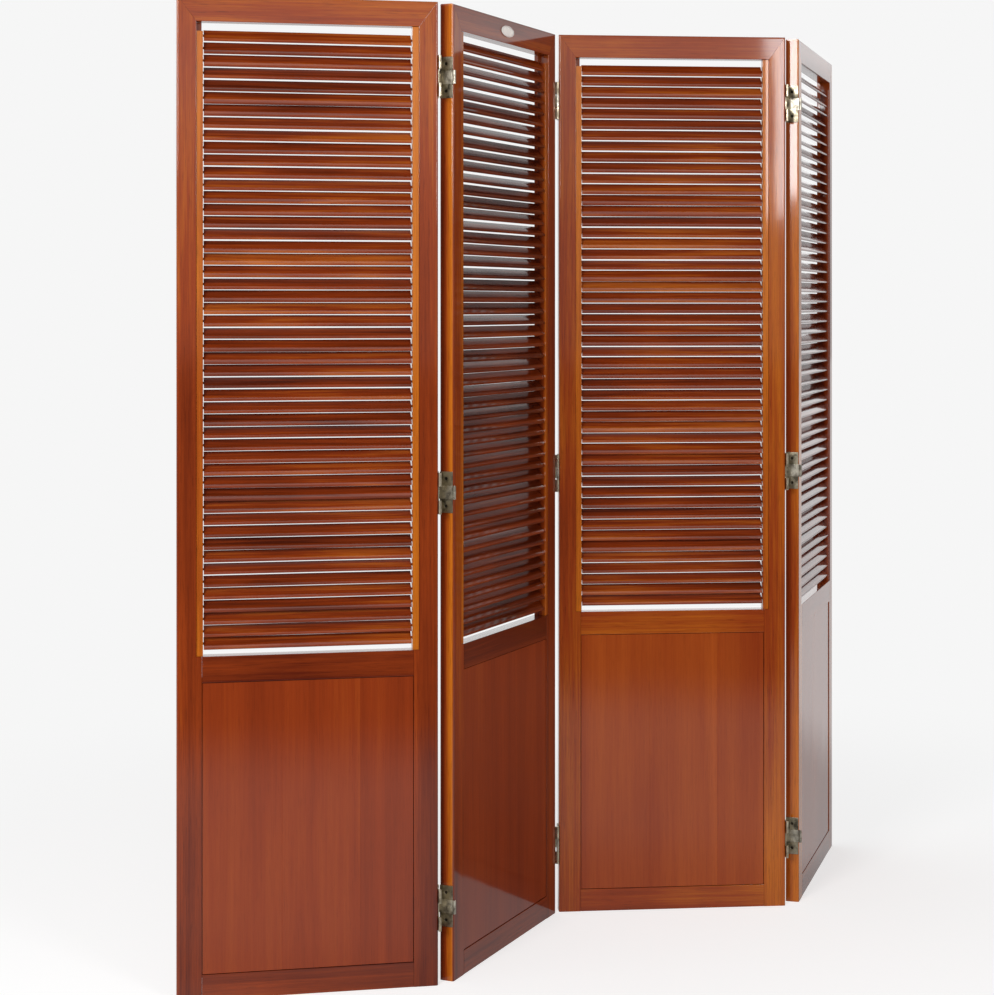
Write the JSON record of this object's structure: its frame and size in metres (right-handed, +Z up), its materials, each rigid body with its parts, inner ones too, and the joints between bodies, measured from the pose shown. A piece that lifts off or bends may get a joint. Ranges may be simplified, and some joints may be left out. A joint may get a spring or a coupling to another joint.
{
  "type": "folding louvred room divider",
  "caption": "Folding wooden room divider: framed panels with turning louvre slats above a solid lower board, joined by double-knuckle brass screen hinges.",
  "frame": {"origin": "on the floor, under the middle of the standing zig-zag's bounding box", "axes": "+X along the row of panels from panel 1 to panel 4, +Z up, the front faces -Y"},
  "size_m": [1.7024, 0.3008, 1.8],
  "materials": {
    "lacquered_frame": "glossy clear lacquer on red-brown stained hardwood",
    "lacquered_board": "glossy clear lacquer on darker red-brown staved boards",
    "lacquered_slats": "glossy clear lacquer, each slat a tone of its own",
    "aged_brass": "aged, half dull",
    "pale_plate": "bare polished oval plate"
  },
  "bodies": {
    "panel_1": {"panel_1_stile_left": "lacquered_frame", "panel_1_stile_right": "lacquered_frame", "panel_1_top_rail": "lacquered_frame", "panel_1_mid_rail": "lacquered_frame", "panel_1_bottom_rail": "lacquered_frame", "panel_1_board": "lacquered_board", "panel_1_louvre_bank": "lacquered_slats", "hinge_1_2_bottom_pin_leaf": "aged_brass", "hinge_1_2_middle_pin_leaf": "aged_brass", "hinge_1_2_top_pin_leaf": "aged_brass"},
    "panel_2": {"panel_2_stile_left": "lacquered_frame", "panel_2_stile_right": "lacquered_frame", "panel_2_top_rail": "lacquered_frame", "panel_2_mid_rail": "lacquered_frame", "panel_2_bottom_rail": "lacquered_frame", "panel_2_board": "lacquered_board", "panel_2_louvre_bank": "lacquered_slats", "badge_plate": "pale_plate", "hinge_1_2_bottom_strap_leaf": "aged_brass", "hinge_1_2_middle_strap_leaf": "aged_brass", "hinge_1_2_top_strap_leaf": "aged_brass", "hinge_2_3_bottom_pin_leaf": "aged_brass", "hinge_2_3_middle_pin_leaf": "aged_brass", "hinge_2_3_top_pin_leaf": "aged_brass"},
    "panel_3": {"panel_3_stile_left": "lacquered_frame", "panel_3_stile_right": "lacquered_frame", "panel_3_top_rail": "lacquered_frame", "panel_3_mid_rail": "lacquered_frame", "panel_3_bottom_rail": "lacquered_frame", "panel_3_board": "lacquered_board", "panel_3_louvre_bank": "lacquered_slats", "hinge_2_3_bottom_strap_leaf": "aged_brass", "hinge_2_3_middle_strap_leaf": "aged_brass", "hinge_2_3_top_strap_leaf": "aged_brass", "hinge_3_4_bottom_pin_leaf": "aged_brass", "hinge_3_4_middle_pin_leaf": "aged_brass", "hinge_3_4_top_pin_leaf": "aged_brass"},
    "panel_4": {"panel_4_stile_left": "lacquered_frame", "panel_4_stile_right": "lacquered_frame", "panel_4_top_rail": "lacquered_frame", "panel_4_mid_rail": "lacquered_frame", "panel_4_bottom_rail": "lacquered_frame", "panel_4_board": "lacquered_board", "panel_4_louvre_bank": "lacquered_slats", "hinge_3_4_bottom_strap_leaf": "aged_brass", "hinge_3_4_middle_strap_leaf": "aged_brass", "hinge_3_4_top_strap_leaf": "aged_brass"},
    "panel_1_slat_upper": {"panel_1_slat_upper": "lacquered_slats"},
    "panel_1_slat_middle": {"panel_1_slat_middle": "lacquered_slats"},
    "panel_1_slat_lower": {"panel_1_slat_lower": "lacquered_slats"},
    "panel_2_slat_upper": {"panel_2_slat_upper": "lacquered_slats"},
    "panel_2_slat_middle": {"panel_2_slat_middle": "lacquered_slats"},
    "panel_2_slat_lower": {"panel_2_slat_lower": "lacquered_slats"},
    "panel_3_slat_upper": {"panel_3_slat_upper": "lacquered_slats"},
    "panel_3_slat_middle": {"panel_3_slat_middle": "lacquered_slats"},
    "panel_3_slat_lower": {"panel_3_slat_lower": "lacquered_slats"},
    "panel_4_slat_upper": {"panel_4_slat_upper": "lacquered_slats"},
    "panel_4_slat_middle": {"panel_4_slat_middle": "lacquered_slats"},
    "panel_4_slat_lower": {"panel_4_slat_lower": "lacquered_slats"}
  },
  "joints": [
    {"name": "fold_1_2", "type": "hinge", "parent": "panel_1", "child": "panel_2", "pos_m": [-0.41718, -0.06932, 0.9], "axis": [0, 0, 1], "range_deg": [-55, 125]},
    {"name": "fold_2_3", "type": "hinge", "parent": "panel_2", "child": "panel_3", "pos_m": [0.02435, 0.11614, 0.9], "axis": [0, 0, -1], "range_deg": [-60.5, 119.5]},
    {"name": "fold_3_4", "type": "hinge", "parent": "panel_3", "child": "panel_4", "pos_m": [0.44204, -0.11811, 0.9], "axis": [0, 0, 1], "range_deg": [-68, 112]},
    {"name": "turn_panel_1_slat_upper", "type": "hinge", "parent": "panel_1", "child": "panel_1_slat_upper", "pos_m": [-0.63629, 0.02725, 1.5283], "axis": [-0.8829, 0.4695, 0], "range_deg": [-40, 85]},
    {"name": "turn_panel_1_slat_middle", "type": "hinge", "parent": "panel_1", "child": "panel_1_slat_middle", "pos_m": [-0.63629, 0.02725, 1.1938], "axis": [-0.8829, 0.4695, 0], "range_deg": [-40, 85]},
    {"name": "turn_panel_1_slat_lower", "type": "hinge", "parent": "panel_1", "child": "panel_1_slat_lower", "pos_m": [-0.63629, 0.02725, 0.8593], "axis": [-0.8829, 0.4695, 0], "range_deg": [-40, 85]},
    {"name": "turn_panel_2_slat_upper", "type": "hinge", "parent": "panel_2", "child": "panel_2_slat_upper", "pos_m": [-0.19641, 0.02341, 1.5283], "axis": [-0.891, -0.454, 0], "range_deg": [-40, 85]},
    {"name": "turn_panel_2_slat_middle", "type": "hinge", "parent": "panel_2", "child": "panel_2_slat_middle", "pos_m": [-0.19641, 0.02341, 1.1938], "axis": [-0.891, -0.454, 0], "range_deg": [-40, 85]},
    {"name": "turn_panel_2_slat_lower", "type": "hinge", "parent": "panel_2", "child": "panel_2_slat_lower", "pos_m": [-0.19641, 0.02341, 0.8593], "axis": [-0.891, -0.454, 0], "range_deg": [-40, 85]},
    {"name": "turn_panel_3_slat_upper", "type": "hinge", "parent": "panel_3", "child": "panel_3_slat_upper", "pos_m": [0.2332, -0.00099, 1.5283], "axis": [-0.8339, 0.5519, 0], "range_deg": [-40, 85]},
    {"name": "turn_panel_3_slat_middle", "type": "hinge", "parent": "panel_3", "child": "panel_3_slat_middle", "pos_m": [0.2332, -0.00099, 1.1938], "axis": [-0.8339, 0.5519, 0], "range_deg": [-40, 85]},
    {"name": "turn_panel_3_slat_lower", "type": "hinge", "parent": "panel_3", "child": "panel_3_slat_lower", "pos_m": [0.2332, -0.00099, 0.8593], "axis": [-0.8339, 0.5519, 0], "range_deg": [-40, 85]},
    {"name": "turn_panel_4_slat_upper", "type": "hinge", "parent": "panel_4", "child": "panel_4_slat_upper", "pos_m": [0.64881, 0.00264, 1.5283], "axis": [-0.8241, -0.5664, 0], "range_deg": [-40, 85]},
    {"name": "turn_panel_4_slat_middle", "type": "hinge", "parent": "panel_4", "child": "panel_4_slat_middle", "pos_m": [0.64881, 0.00264, 1.1938], "axis": [-0.8241, -0.5664, 0], "range_deg": [-40, 85]},
    {"name": "turn_panel_4_slat_lower", "type": "hinge", "parent": "panel_4", "child": "panel_4_slat_lower", "pos_m": [0.64881, 0.00264, 0.8593], "axis": [-0.8241, -0.5664, 0], "range_deg": [-40, 85]}
  ]
}
